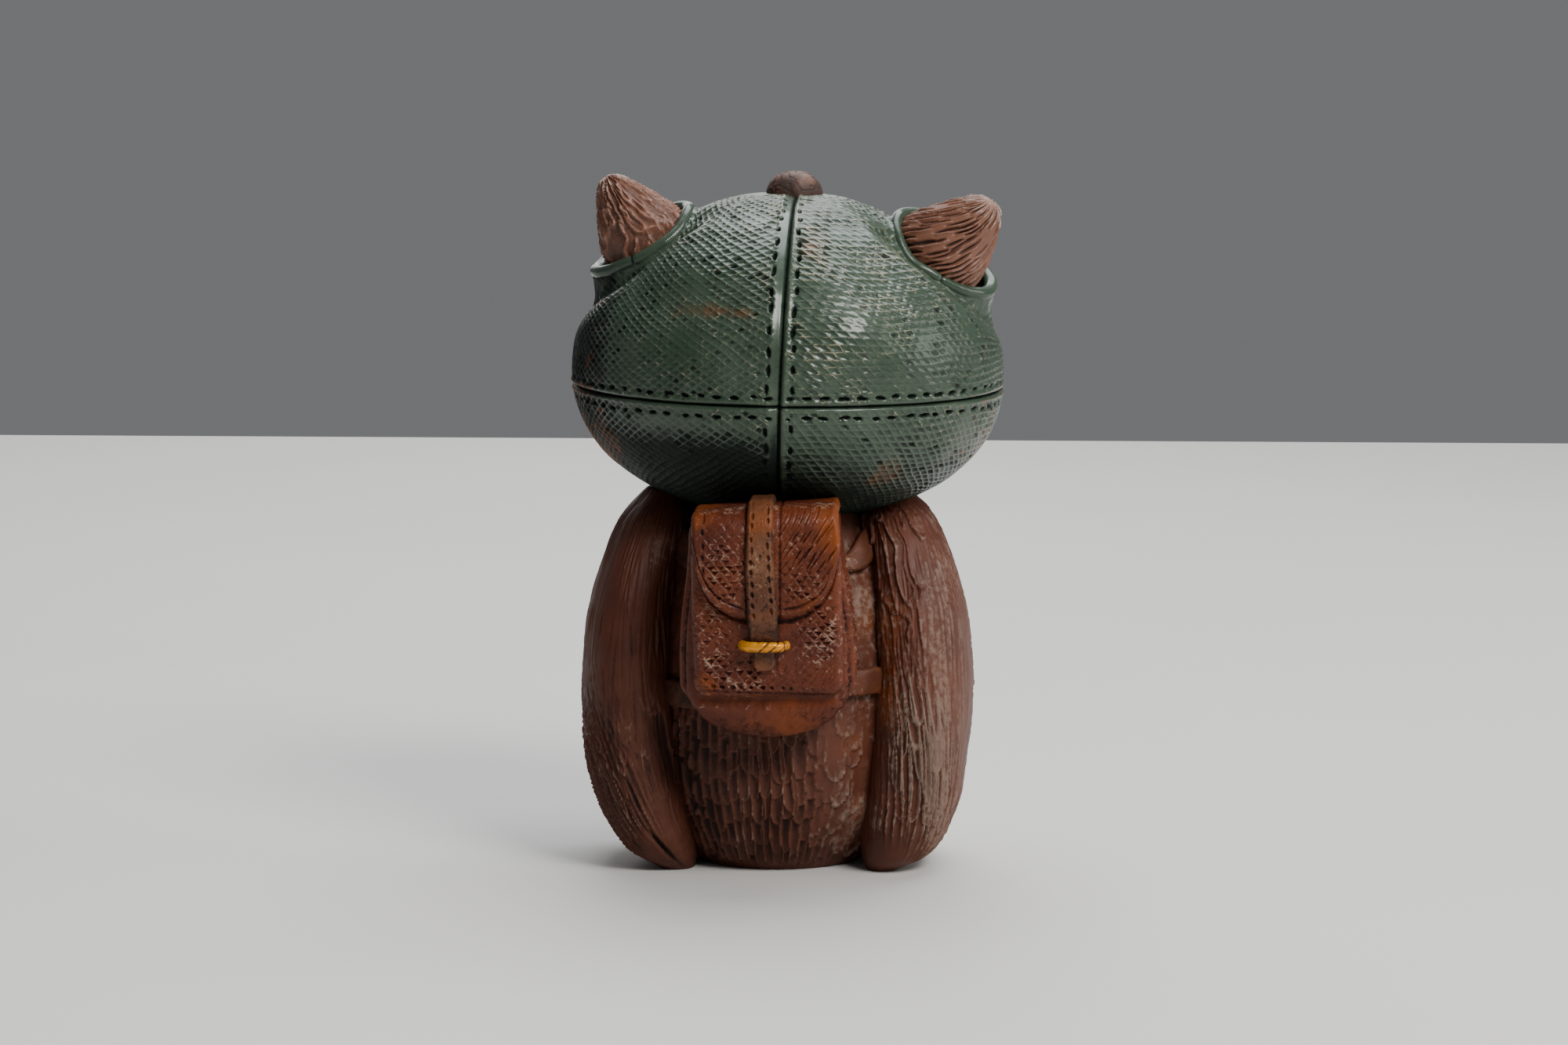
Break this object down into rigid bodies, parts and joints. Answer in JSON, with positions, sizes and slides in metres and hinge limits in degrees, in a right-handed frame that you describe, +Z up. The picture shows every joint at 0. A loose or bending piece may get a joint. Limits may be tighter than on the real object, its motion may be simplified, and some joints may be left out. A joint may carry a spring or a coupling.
{
  "type": "owl figurine",
  "caption": "Hand-modelled clay owl figurine with a stitched cap, ear tufts, folded wings and a small backpack; stands on a flat base.",
  "frame": {"origin": "centre of the flat underside, on the surface that the owl stands on", "axes": "+Z up, towards the button on the cap; the owl faces -Y and wears the backpack on its +Y side; +X is the owl's left"},
  "size_m": [0.0872, 0.0898, 0.14],
  "materials": {
    "feathered_clay": "matte, carved feather strokes",
    "tuft_clay": "matte, brushed",
    "cap_clay": "semi-gloss, scale texture",
    "pack_clay": "satin, leather texture",
    "strap_clay": "satin, worn edges",
    "gold_ring": "gold paint",
    "foil": "crumpled",
    "dowel_wood": "raw",
    "base_clay": "matte",
    "horn_clay": "satin",
    "eye_glaze": "gloss",
    "face_clay": "matte"
  },
  "bodies": {
    "root": {"body_shell": "feathered_clay", "wing_left": "feathered_clay", "wing_right": "feathered_clay", "ear_tuft_left": "tuft_clay", "ear_tuft_right": "tuft_clay", "crown_button": "tuft_clay", "cap_upper_left": "cap_clay", "cap_upper_right": "cap_clay", "cap_lower_left": "cap_clay", "cap_lower_right": "cap_clay", "cap_front_hem": "cap_clay", "ear_rim_left": "cap_clay", "ear_rim_right": "cap_clay", "pack_body": "pack_clay", "pack_front_panel": "pack_clay", "pack_flap": "pack_clay", "pack_closure_strap": "strap_clay", "shoulder_strap_left": "strap_clay", "shoulder_strap_right": "strap_clay", "pack_ring": "gold_ring", "body_core": "foil", "head_core": "foil", "neck_dowel": "dowel_wood", "base_disc": "base_clay", "foot_left": "base_clay", "foot_right": "base_clay", "beak": "horn_clay", "claw_inner_left": "horn_clay", "claw_middle_left": "horn_clay", "claw_outer_left": "horn_clay", "claw_inner_right": "horn_clay", "claw_middle_right": "horn_clay", "claw_outer_right": "horn_clay", "eye_left": "eye_glaze", "eye_right": "eye_glaze", "head_shell": "face_clay", "face_disc_left": "face_clay", "face_disc_right": "face_clay"}
  },
  "joints": []
}
